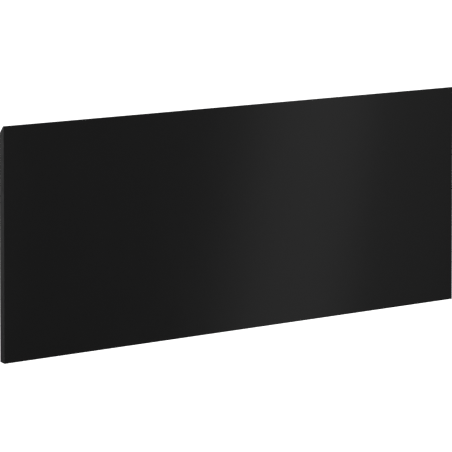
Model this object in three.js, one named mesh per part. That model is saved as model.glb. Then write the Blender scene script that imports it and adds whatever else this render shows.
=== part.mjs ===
// A self-adhesive door kick plate: a solid black plate, and on its back a frame and four bays
// of foam mounting tape, each strip still covered by its release liner.
//
// Millimetres. +X runs along the plate, +Z is up, and -Y is the front that faces the room.
// The origin is the centre of the middle strip, on the outer face of its liner, so the plane
// y = 0 is where the plate meets the door.
import * as THREE from 'three';

// Plate
const PLATE_LENGTH = 863.6; // 34 in, for a 36 in door
const PLATE_HEIGHT = 254; // 10 in
const PLATE_THICKNESS = 6;
const TOP_LAND = 1.2; // flat left along the top, in front of the bevel
const TOP_BEVEL_DROP = 8; // how far down the back the bevel reaches
const UNDERSIDE_RISE = 2; // the underside slopes up by this much towards the back

// Foam tape and its liner
const TAPE_WIDTH = 19;
const TAPE_THICKNESS = 1.1;
const LINER_THICKNESS = 0.15;
const STRIP_INSET = 18; // from the plate's edges to the outer edge of the tape frame
const STRIP_GAP = 8; // between an upright strip's end and the strip along the edge
const TAB_LENGTH = 6.5; // how far a liner runs past its tape, to be gripped
const TAB_CORNER = 4;
const CORNER_SEGMENTS = 6;

// Planes across the thickness, from the door forwards
const LINER_BACK = 0;
const TAPE_BACK = LINER_BACK - LINER_THICKNESS;
const PLATE_BACK = TAPE_BACK - TAPE_THICKNESS;
const PLATE_FRONT = PLATE_BACK - PLATE_THICKNESS;

// The tape frame
const FRAME_LENGTH = PLATE_LENGTH - 2 * STRIP_INSET;
const FRAME_HEIGHT = PLATE_HEIGHT - 2 * STRIP_INSET;
const EDGE_STRIP_Z = (FRAME_HEIGHT - TAPE_WIDTH) / 2;
const END_STRIP_X = (FRAME_LENGTH - TAPE_WIDTH) / 2;
const UPRIGHT_LENGTH = FRAME_HEIGHT - 2 * TAPE_WIDTH - 2 * STRIP_GAP;

const blackPlastic = new THREE.MeshStandardMaterial({ color: 0x1b1b1b, roughness: 0.4, metalness: 0 });
const greyFoam = new THREE.MeshStandardMaterial({ color: 0x6e7072, roughness: 0.9, metalness: 0 });
const linerPaper = new THREE.MeshStandardMaterial({ color: 0xe6e1d2, roughness: 0.5, metalness: 0 });

function plate() {
  // Section across the thickness: shape x is the depth (row Y), shape y is the height (row Z).
  const top = PLATE_HEIGHT / 2;
  const bottom = -PLATE_HEIGHT / 2;
  const section = new THREE.Shape([
    new THREE.Vector2(PLATE_FRONT, bottom),
    new THREE.Vector2(PLATE_BACK, bottom + UNDERSIDE_RISE),
    new THREE.Vector2(PLATE_BACK, top - TOP_BEVEL_DROP),
    new THREE.Vector2(PLATE_FRONT + TOP_LAND, top),
    new THREE.Vector2(PLATE_FRONT, top),
  ]);
  const geometry = new THREE.ExtrudeGeometry(section, { depth: PLATE_LENGTH, bevelEnabled: false });
  const mesh = new THREE.Mesh(geometry, blackPlastic);
  mesh.name = 'plate';
  mesh.rotation.set(Math.PI / 2, 0, Math.PI / 2, 'ZYX'); // the extrusion runs along +X
  mesh.position.x = -PLATE_LENGTH / 2;
  return mesh;
}

// A strip's outline, centred on the origin and running along x.
function tapeOutline(length) {
  const end = length / 2;
  const side = TAPE_WIDTH / 2;
  return new THREE.Shape([
    new THREE.Vector2(-end, -side),
    new THREE.Vector2(end, -side),
    new THREE.Vector2(end, side),
    new THREE.Vector2(-end, side),
  ]);
}

// The same outline with a round-cornered tab at the -x end, and at the +x end if asked for.
function linerOutline(length, tabAtBothEnds) {
  const side = TAPE_WIDTH / 2;
  const near = -length / 2 - TAB_LENGTH;
  const far = tabAtBothEnds ? -near : length / 2;
  const outline = new THREE.Shape();
  outline.moveTo(near, side - TAB_CORNER);
  outline.absarc(near + TAB_CORNER, -side + TAB_CORNER, TAB_CORNER, Math.PI, 1.5 * Math.PI);
  if (tabAtBothEnds) {
    outline.absarc(far - TAB_CORNER, -side + TAB_CORNER, TAB_CORNER, -0.5 * Math.PI, 0);
    outline.absarc(far - TAB_CORNER, side - TAB_CORNER, TAB_CORNER, 0, 0.5 * Math.PI);
  } else {
    outline.lineTo(far, -side);
    outline.lineTo(far, side);
  }
  outline.absarc(near + TAB_CORNER, side - TAB_CORNER, TAB_CORNER, 0.5 * Math.PI, Math.PI);
  return outline;
}

function layer(name, outline, thickness, backPlane, material) {
  const geometry = new THREE.ExtrudeGeometry(outline, {
    depth: thickness,
    bevelEnabled: false,
    curveSegments: CORNER_SEGMENTS,
  });
  const mesh = new THREE.Mesh(geometry, material);
  mesh.name = name;
  mesh.rotation.x = Math.PI / 2; // the outline stands upright, and its thickness runs to -Y
  mesh.position.y = backPlane;
  return mesh;
}

// One strip of tape and its liner, lying along x.
function strip(place, length, tabAtBothEnds) {
  const group = new THREE.Group();
  group.add(
    layer(`tape_${place}`, tapeOutline(length), TAPE_THICKNESS, TAPE_BACK, greyFoam),
    layer(`liner_${place}`, linerOutline(length, tabAtBothEnds), LINER_THICKNESS, LINER_BACK, linerPaper),
  );
  return group;
}

function edgeStrip(place, z) {
  const group = strip(place, FRAME_LENGTH, true);
  group.position.z = z;
  return group;
}

function uprightStrip(place, x) {
  const group = strip(place, UPRIGHT_LENGTH, false);
  group.rotation.y = -Math.PI / 2; // turned so that the tab is at the lower end
  group.position.x = x;
  return group;
}

function adhesive() {
  const group = new THREE.Group();
  group.add(edgeStrip('top', EDGE_STRIP_Z), edgeStrip('bottom', -EDGE_STRIP_Z));
  const uprights = ['left', 'mid_left', 'centre', 'mid_right', 'right'];
  const middle = (uprights.length - 1) / 2;
  uprights.forEach((place, i) => {
    group.add(uprightStrip(place, ((i - middle) / middle) * END_STRIP_X));
  });
  return group;
}

const kickPlate = new THREE.Group();
kickPlate.add(plate(), adhesive());

export default kickPlate;
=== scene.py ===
"""A self-adhesive door kick plate: satin black plate, foam mounting tape and release liners.

Everything is in metres in the row frame: +X along the plate, +Z up, the front facing -Y, and
y = 0 the plane that meets the door.
"""

import math

import bmesh
import bpy
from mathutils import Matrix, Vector, noise


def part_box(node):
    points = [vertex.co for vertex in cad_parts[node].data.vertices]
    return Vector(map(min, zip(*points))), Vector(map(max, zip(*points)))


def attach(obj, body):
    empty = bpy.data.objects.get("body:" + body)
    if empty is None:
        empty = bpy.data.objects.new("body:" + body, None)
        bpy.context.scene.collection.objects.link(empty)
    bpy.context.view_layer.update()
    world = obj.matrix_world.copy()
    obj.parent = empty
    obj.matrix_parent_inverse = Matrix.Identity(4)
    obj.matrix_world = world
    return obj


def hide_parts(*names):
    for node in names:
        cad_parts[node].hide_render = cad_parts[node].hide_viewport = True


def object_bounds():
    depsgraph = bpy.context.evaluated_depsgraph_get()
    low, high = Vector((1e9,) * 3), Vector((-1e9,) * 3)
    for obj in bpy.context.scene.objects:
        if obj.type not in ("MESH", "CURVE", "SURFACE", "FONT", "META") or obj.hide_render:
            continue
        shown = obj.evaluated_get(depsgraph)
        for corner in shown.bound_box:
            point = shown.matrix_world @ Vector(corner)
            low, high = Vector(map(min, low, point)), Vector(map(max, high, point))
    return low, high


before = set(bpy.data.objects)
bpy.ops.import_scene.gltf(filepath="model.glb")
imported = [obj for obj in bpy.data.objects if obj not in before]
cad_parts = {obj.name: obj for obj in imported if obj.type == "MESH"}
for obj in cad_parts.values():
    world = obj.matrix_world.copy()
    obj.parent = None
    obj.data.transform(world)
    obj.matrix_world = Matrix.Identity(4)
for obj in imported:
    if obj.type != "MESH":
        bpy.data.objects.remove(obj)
cad_low, cad_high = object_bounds()

MM = 0.001
BODY = "root"
STRIPS = ("top", "bottom", "left", "mid_left", "centre", "mid_right", "right")

# Plate
TOP_LAND = 1.2 * MM  # flat left along the top, in front of the rear bevel
TOP_BEVEL_DROP = 8 * MM
UNDERSIDE_RISE = 2 * MM
ARRIS = 0.25 * MM  # rounding of the cut edges
ARRIS_STEPS = 3
FLAT_ON = 0.99  # a face this square to Y belongs to the front or the back

# Foam tape
TAPE_STEP = 5 * MM  # between cross-sections
TAPE_DEPTHS = (0, 0.2, 0.5, 0.8, 1)  # shares of the thickness at which a side has a point
TAPE_BULGE = 0.15 * MM  # how far the sides swell at half their depth
TAPE_WANDER = 0.12 * MM  # how far the slit edges wander along the strip
WANDER_SCALE = 60  # wanders per metre
WANDER_SPREAD = 97  # keeps the strips from wandering alike

# Release liner
LINER_STEP = 4 * MM
LINER_QUADS_ACROSS = 10
TAB_CORNER = 4 * MM
TAB_CORNER_STEPS = 8
TAB_DROOP = 0.6 * MM  # how far a tab's end sags towards the plate
EDGE_LIFT = 0.1 * MM  # how far the long edges lift off the tape here and there
LIFT_SCALE = 40  # lifts per metre
LIFT_SPREAD = 61  # keeps the strips from lifting alike
LIFT_SIDES = 1.5  # keeps a strip's two long edges from lifting alike

# Camera: the photograph's long lens, from the front left and a little above
CAMERA_AIM = Vector((-0.0293, -0.00725, -0.00733))
CAMERA_AZIMUTH = -54.11  # degrees round from the front, towards the left end
CAMERA_ELEVATION = 4.92
CAMERA_DISTANCE = 5.993
CAMERA_LENS = 424.5  # mm, on a 36 mm sensor

# Studio
FLOOR_DROP = 1.2  # below the plate's foot, as the plate hangs on a door
FLOOR_RADIUS = 20
COVE_RADIUS = 4  # of the curve from the floor up to the wall
COVE_STEPS = 8
WALL_TOP = 16  # above the floor
WALL_SIDES = 64
# How bright the room is from straight down to straight up: (height of the direction, brightness)
ROOM_TONES = ((-1, 0.35), (-0.3, 0.03), (0.3, 0.27), (1, 0.7))


# ---------------------------------------------------------------- materials

class Finish:
    """A material's node tree, with short calls for the nodes that the finishes share.

    Scales are in features per metre, colours are linear, and a bump's distance is its height.
    """

    def __init__(self, name):
        self.material = bpy.data.materials.new(name)
        self.material.use_nodes = True
        self.tree = self.material.node_tree
        self.shader = self.tree.nodes["Principled BSDF"]
        self.place = self.add("ShaderNodeTexCoord").outputs["Object"]

    def add(self, kind, **settings):
        node = self.tree.nodes.new(kind)
        for key, value in settings.items():
            setattr(node, key, value)
        return node

    def link(self, output, target):
        self.tree.links.new(output, target)

    def stretched(self, scale):
        """Object coordinates, scaled by a different amount along each axis."""
        node = self.add("ShaderNodeMapping")
        node.inputs["Scale"].default_value = scale
        self.link(self.place, node.inputs["Vector"])
        return node.outputs["Vector"]

    def noise(self, scale, detail=3.0, roughness=0.5, vector=None):
        node = self.add("ShaderNodeTexNoise")
        node.inputs["Scale"].default_value = scale
        node.inputs["Detail"].default_value = detail
        node.inputs["Roughness"].default_value = roughness
        self.link(vector or self.place, node.inputs["Vector"])
        return node.outputs["Fac"]

    def cells(self, scale):
        node = self.add("ShaderNodeTexVoronoi")
        node.inputs["Scale"].default_value = scale
        self.link(self.place, node.inputs["Vector"])
        return node.outputs["Distance"]

    def ramp(self, factor, low, high, start=0.3, end=0.7):
        """Maps a factor from start..end to low..high, smoothly."""
        node = self.add("ShaderNodeMapRange", interpolation_type="SMOOTHSTEP")
        self.link(factor, node.inputs["Value"])
        node.inputs["From Min"].default_value = start
        node.inputs["From Max"].default_value = end
        node.inputs["To Min"].default_value = low
        node.inputs["To Max"].default_value = high
        return node.outputs["Result"]

    def blend(self, factor, first, second):
        """A colour between two colours, by a factor from 0 to 1."""
        node = self.add("ShaderNodeMix", data_type="RGBA")
        self.link(factor, node.inputs[0])
        node.inputs[6].default_value = (*first, 1)
        node.inputs[7].default_value = (*second, 1)
        return node.outputs[2]

    def bump(self, height, strength, distance, below=None):
        node = self.add("ShaderNodeBump")
        node.inputs["Strength"].default_value = strength
        node.inputs["Distance"].default_value = distance
        self.link(height, node.inputs["Height"])
        if below is not None:
            self.link(below, node.inputs["Normal"])
        return node.outputs["Normal"]

    def finish(self, colour, roughness, normal):
        self.link(colour, self.shader.inputs["Base Color"])
        self.link(roughness, self.shader.inputs["Roughness"])
        self.link(normal, self.shader.inputs["Normal"])
        return self.material


def plate_face_material():
    """Satin black sheet: a very fine grain, a faint long waviness and a trace of handling haze."""
    m = Finish("plate_face")
    haze = m.noise(9, detail=4, roughness=0.6)
    colour = m.blend(m.ramp(haze, 0, 1), (0.0062, 0.0062, 0.0063), (0.0070, 0.0070, 0.0071))
    roughness = m.ramp(haze, 0.206, 0.226)
    waves = m.bump(m.noise(22, detail=1), 0.05, 0.2 * MM)
    normal = m.bump(m.noise(2600, detail=2), 0.12, 0.01 * MM, below=waves)
    return m.finish(colour, roughness, normal)


def plate_back_material():
    """The bonding side of the sheet: duller, sanded to a key."""
    m = Finish("plate_back")
    haze = m.noise(14, detail=5, roughness=0.6)
    scratches = m.noise(700, detail=4, vector=m.stretched((0.25, 1, 1)))
    colour = m.blend(m.ramp(haze, 0, 1), (0.0085, 0.0085, 0.0087), (0.0125, 0.0125, 0.0128))
    roughness = m.ramp(scratches, 0.46, 0.60)
    normal = m.bump(scratches, 0.25, 0.03 * MM)
    return m.finish(colour, roughness, normal)


def plate_edge_material():
    """The sheet's cut edges: greyer, with fine marks along the cut."""
    m = Finish("plate_edge")
    marks = m.noise(900, detail=3, vector=m.stretched((0.12, 1, 0.12)))
    scuffs = m.noise(160, detail=4, roughness=0.65)
    colour = m.blend(m.ramp(scuffs, 0, 1), (0.017, 0.017, 0.0175), (0.023, 0.023, 0.0235))
    roughness = m.ramp(marks, 0.38, 0.48)
    normal = m.bump(marks, 0.3, 0.03 * MM)
    return m.finish(colour, roughness, normal)


def foam_material():
    """Closed-cell foam, dark grey and matt, with fine cells."""
    m = Finish("foam")
    cells = m.cells(5200)
    mottle = m.noise(420, detail=4)
    colour = m.blend(m.ramp(mottle, 0, 1), (0.115, 0.118, 0.122), (0.185, 0.19, 0.195))
    roughness = m.ramp(cells, 0.78, 0.95, start=0, end=1)
    normal = m.bump(cells, 0.6, 0.05 * MM)
    return m.finish(colour, roughness, normal)


def liner_material():
    """Cream glassine: faintly cloudy fibres, a calendered sheen and soft creases."""
    m = Finish("liner_paper")
    clouds = m.noise(420, detail=6, roughness=0.7)
    fibres = m.noise(1500, detail=3, vector=m.stretched((0.35, 1, 0.35)))
    colour = m.blend(m.ramp(clouds, 0, 1), (0.765, 0.725, 0.612), (0.815, 0.778, 0.672))
    roughness = m.ramp(fibres, 0.36, 0.5)
    creases = m.bump(m.noise(45, detail=2), 0.25, 0.4 * MM)
    normal = m.bump(fibres, 0.15, 0.02 * MM, below=creases)
    return m.finish(colour, roughness, normal)


# ---------------------------------------------------------------- mesh helpers

def add_piece(name, work, materials, node):
    """Puts a finished mesh in the scene in place of a CAD node."""
    bmesh.ops.recalc_face_normals(work, faces=work.faces)
    mesh = bpy.data.meshes.new(name)
    work.to_mesh(mesh)
    work.free()
    mesh.shade_smooth()
    for material in materials:
        mesh.materials.append(material)
    piece = bpy.data.objects.new(name, mesh)
    bpy.context.scene.collection.objects.link(piece)
    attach(piece, BODY)
    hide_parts(node)
    piece.modifiers.new("flat_faces_stay_flat", "WEIGHTED_NORMAL")
    return piece


def close_between(work, rings):
    """Joins a row of rings into one solid, with an n-gon at each end."""
    for first, second in zip(rings, rings[1:]):
        for i in range(len(first)):
            j = (i + 1) % len(first)
            work.faces.new((first[i], first[j], second[j], second[i]))
    work.faces.new(rings[0])
    work.faces.new(rings[-1])


def stations(start, end, step):
    """Places from start to end, about a step apart."""
    count = max(1, round((end - start) / step))
    return [start + (end - start) * i / count for i in range(count + 1)]


def strip_place(node):
    """A strip's box, and its long and wide axes, each 0 for X or 2 for Z."""
    low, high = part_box(node)
    along = 0 if high.x - low.x > high.z - low.z else 2
    return low, high, along, 2 - along


def point_at(along, s, across, t, y):
    """A point s along a strip's long axis, t along its wide axis, and y deep."""
    point = Vector((0, y, 0))
    point[along] = s
    point[across] = t
    return point


# ---------------------------------------------------------------- plate

def plate_section(low, high):
    """The plate's outline across its thickness, as (y, z), from the front foot round."""
    return (
        (low.y, low.z),
        (low.y, high.z),
        (low.y + TOP_LAND, high.z),
        (high.y, high.z - TOP_BEVEL_DROP),
        (high.y, low.z + UNDERSIDE_RISE),
    )


def plate_piece(face, back, edge):
    low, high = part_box("plate")
    section = plate_section(low, high)
    work = bmesh.new()
    rings = [[work.verts.new((x, y, z)) for y, z in section] for x in (low.x, high.x)]
    close_between(work, rings)
    bmesh.ops.recalc_face_normals(work, faces=work.faces)
    bmesh.ops.bevel(
        work, geom=work.edges[:], offset=ARRIS, offset_type="OFFSET",
        segments=ARRIS_STEPS, profile=0.5, affect="EDGES",
    )
    for f in work.faces:
        f.material_index = 0 if f.normal.y < -FLAT_ON else 1 if f.normal.y > FLAT_ON else 2
    return add_piece("black_plate", work, (face, back, edge), "plate")


# ---------------------------------------------------------------- foam tape

def tape_section(half, low_y, high_y):
    """A tape's cross-section as (across, y): flat faces, and sides that swell between them."""
    side = [
        (half - TAPE_BULGE * (2 * d - 1) ** 2, low_y + (high_y - low_y) * d) for d in TAPE_DEPTHS
    ]
    return side + [(-t, y) for t, y in reversed(side)]


def tape_piece(place, foam):
    node = f"tape_{place}"
    low, high, along, across = strip_place(node)
    middle = (low[across] + high[across]) / 2
    full_half = (high[across] - low[across]) / 2
    work = bmesh.new()
    rings = []
    for s in stations(low[along], high[along], TAPE_STEP):
        wander = noise.noise(Vector((s * WANDER_SCALE, middle * WANDER_SPREAD, 0)))
        section = tape_section(full_half - TAPE_WANDER * abs(wander), low.y, high.y)
        rings.append([work.verts.new(point_at(along, s, across, middle + t, y)) for t, y in section])
    close_between(work, rings)
    piece = add_piece(f"foam_{place}", work, (foam,), node)
    return piece


# ---------------------------------------------------------------- release liner

def tab_stations(start, inward):
    """Places round a tab's corner, from its end inwards, close together where it is tight."""
    turns = [math.pi / 2 * i / TAB_CORNER_STEPS for i in range(TAB_CORNER_STEPS)]
    return [start + inward * TAB_CORNER * (1 - math.cos(turn)) for turn in turns]


def liner_stations(start, end, tab_at_end):
    """Places along a liner, which has a tab at its start and may have one at its end."""
    last = end - TAB_CORNER if tab_at_end else end
    places = tab_stations(start, 1) + stations(start + TAB_CORNER, last, LINER_STEP)
    return places + tab_stations(end, -1)[::-1] if tab_at_end else places


def tab_inset(distance):
    """How far a liner's side is drawn in at a distance from a tab's end, by its round corner."""
    if distance >= TAB_CORNER:
        return 0.0
    return TAB_CORNER - math.sqrt(TAB_CORNER**2 - (TAB_CORNER - distance) ** 2)


def edge_lift(s, middle, t):
    """How far a liner lifts off its tape, s along it and t across it, from -1 to 1 at its edges."""
    ripple = noise.noise(Vector((s * LIFT_SCALE, middle * LIFT_SPREAD, t * LIFT_SIDES)))
    return EDGE_LIFT * max(0.0, ripple) * t**4


def liner_piece(place, paper):
    node = f"liner_{place}"
    low, high, along, across = strip_place(node)
    tape_low, tape_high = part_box(f"tape_{place}")
    start, end = low[along], high[along]
    tab_length = tape_low[along] - start
    tab_at_end = end - tape_high[along] > TAB_CORNER
    middle = (low[across] + high[across]) / 2
    full_half = (high[across] - low[across]) / 2
    thickness = high.y - low.y
    work = bmesh.new()
    rings = []
    for s in liner_stations(start, end, tab_at_end):
        from_end = min(s - start, end - s) if tab_at_end else s - start
        half = full_half - tab_inset(from_end)
        past_tape = max(tape_low[along] - s, s - tape_high[along], 0.0)
        face_y = high.y - TAB_DROOP * (past_tape / tab_length) ** 2
        ts = [-1 + 2 * i / LINER_QUADS_ACROSS for i in range(LINER_QUADS_ACROSS + 1)]
        outer = [(middle + half * t, face_y + edge_lift(s, middle, t)) for t in ts]
        inner = [(a, y - thickness) for a, y in reversed(outer)]
        rings.append([work.verts.new(point_at(along, s, across, a, y)) for a, y in outer + inner])
    close_between(work, rings)
    return add_piece(f"liner_sheet_{place}", work, (paper,), node)


# ---------------------------------------------------------------- camera

def aim(thing, target):
    thing.rotation_euler = (target - thing.location).to_track_quat("-Z", "Y").to_euler()


def camera():
    azimuth, elevation = math.radians(CAMERA_AZIMUTH), math.radians(CAMERA_ELEVATION)
    back = Vector((
        math.sin(azimuth) * math.cos(elevation),
        -math.cos(azimuth) * math.cos(elevation),
        math.sin(elevation),
    ))
    data = bpy.data.cameras.new("camera")
    data.lens = CAMERA_LENS
    seen_from = bpy.data.objects.new("camera", data)
    seen_from.location = CAMERA_AIM + back * CAMERA_DISTANCE
    aim(seen_from, CAMERA_AIM)
    bpy.context.scene.collection.objects.link(seen_from)
    bpy.context.scene.camera = seen_from


# ---------------------------------------------------------------- studio

def floor_material():
    white = bpy.data.materials.new("floor_white")
    white.use_nodes = True
    shader = white.node_tree.nodes["Principled BSDF"]
    shader.inputs["Base Color"].default_value = (0.9, 0.9, 0.9, 1)
    shader.inputs["Roughness"].default_value = 0.9
    shader.inputs["Emission Color"].default_value = (1, 1, 1, 1)
    shader.inputs["Emission Strength"].default_value = 1
    return white


def floor_profile():
    """The floor's edge, the cove and the wall as (radius, z), from the floor up."""
    foot = cad_low.z - FLOOR_DROP
    turns = [math.pi / 2 * i / COVE_STEPS for i in range(COVE_STEPS + 1)]
    cove = [
        (FLOOR_RADIUS + COVE_RADIUS * math.sin(turn), foot + COVE_RADIUS * (1 - math.cos(turn)))
        for turn in turns
    ]
    return cove + [(FLOOR_RADIUS + COVE_RADIUS, foot + WALL_TOP)]


def floor():
    """A white floor that curves up into a round wall. Only the camera sees it."""
    sides = [2 * math.pi * i / WALL_SIDES for i in range(WALL_SIDES)]
    work = bmesh.new()
    close_between(work, [
        [work.verts.new((radius * math.cos(side), radius * math.sin(side), z)) for side in sides]
        for radius, z in floor_profile()
    ])
    mesh = bpy.data.meshes.new("floor")
    work.to_mesh(mesh)
    work.free()
    mesh.materials.append(floor_material())
    shell = bpy.data.objects.new("floor", mesh)
    bpy.context.scene.collection.objects.link(shell)
    shell.visible_diffuse = False
    shell.visible_glossy = False
    shell.visible_shadow = False


def room():
    """A dim room, darkest just below the horizon, with a pale floor and a brighter ceiling."""
    world = bpy.data.worlds.new("studio")
    bpy.context.scene.world = world
    world.use_nodes = True
    tree = world.node_tree
    direction = tree.nodes.new("ShaderNodeTexCoord").outputs["Generated"]
    height = tree.nodes.new("ShaderNodeSeparateXYZ")
    tree.links.new(direction, height.inputs[0])
    share = tree.nodes.new("ShaderNodeMapRange")
    share.inputs["From Min"].default_value = -1
    tree.links.new(height.outputs["Z"], share.inputs["Value"])
    tones = tree.nodes.new("ShaderNodeValToRGB")
    tree.links.new(share.outputs["Result"], tones.inputs["Fac"])
    stops = tones.color_ramp.elements
    while len(stops) < len(ROOM_TONES):
        stops.new(0.5)
    for stop, (z, tone) in zip(stops, ROOM_TONES):
        stop.position = (z + 1) / 2
        stop.color = (tone, tone, tone, 1)
    tree.links.new(tones.outputs["Color"], tree.nodes["Background"].inputs["Color"])


def softbox(name, place, target, size, brightness, lean=0.0):
    """A rectangular studio light, (width, height) in size, leaned in degrees about its own axis."""
    width, height = size
    data = bpy.data.lights.new(name, "AREA")
    data.shape = "RECTANGLE"
    data.size = width
    data.size_y = height
    data.energy = brightness * math.pi * width * height
    light = bpy.data.objects.new(name, data)
    light.location = place
    aim(light, Vector(target))
    light.rotation_euler.rotate_axis("Z", math.radians(lean))
    light.visible_camera = False
    bpy.context.scene.collection.objects.link(light)


def studio_lights():
    """Tall strips that the gloss of the front shows as soft bands, and boxes for its end and back."""
    softbox("strip_light", (0.60, -0.35, -0.05), (0.11, -0.01, 0), (0.14, 1.6), 0.21, lean=-7)
    softbox("side_light", (0.82, -0.34, -0.05), (0.32, -0.01, 0), (0.14, 1.6), 0.055, lean=-5)
    softbox("left_light", (-0.15, -0.36, -0.05), (-0.4, 0, 0), (0.2, 1.6), 0.043, lean=-7)
    softbox("front_light", (-0.3, -1.4, 0.1), (-0.3, 0, 0), (0.45, 1.4), 0.4, lean=-7)
    softbox("low_light", (-0.6, -0.6, -0.4), (0, 0, 0), (0.2, 1.4), 0.4, lean=7)
    softbox("end_light", (-1.24, 0.58, 0.22), (-0.43, 0, 0), (0.5, 0.7), 1.35)
    softbox("back_light", (0.25, 1.5, 0.9), (0, 0, 0), (1.2, 0.9), 8)


def exact_tones():
    """Tones as rendered, so that white stays white and black stays black."""
    view = bpy.context.scene.view_settings
    view.view_transform = "Standard"
    view.look = "None"


camera()
floor()
room()
studio_lights()
exact_tones()

plate_piece(plate_face_material(), plate_back_material(), plate_edge_material())
foam = foam_material()
paper = liner_material()
for place in STRIPS:
    tape_piece(place, foam)
    liner_piece(place, paper)
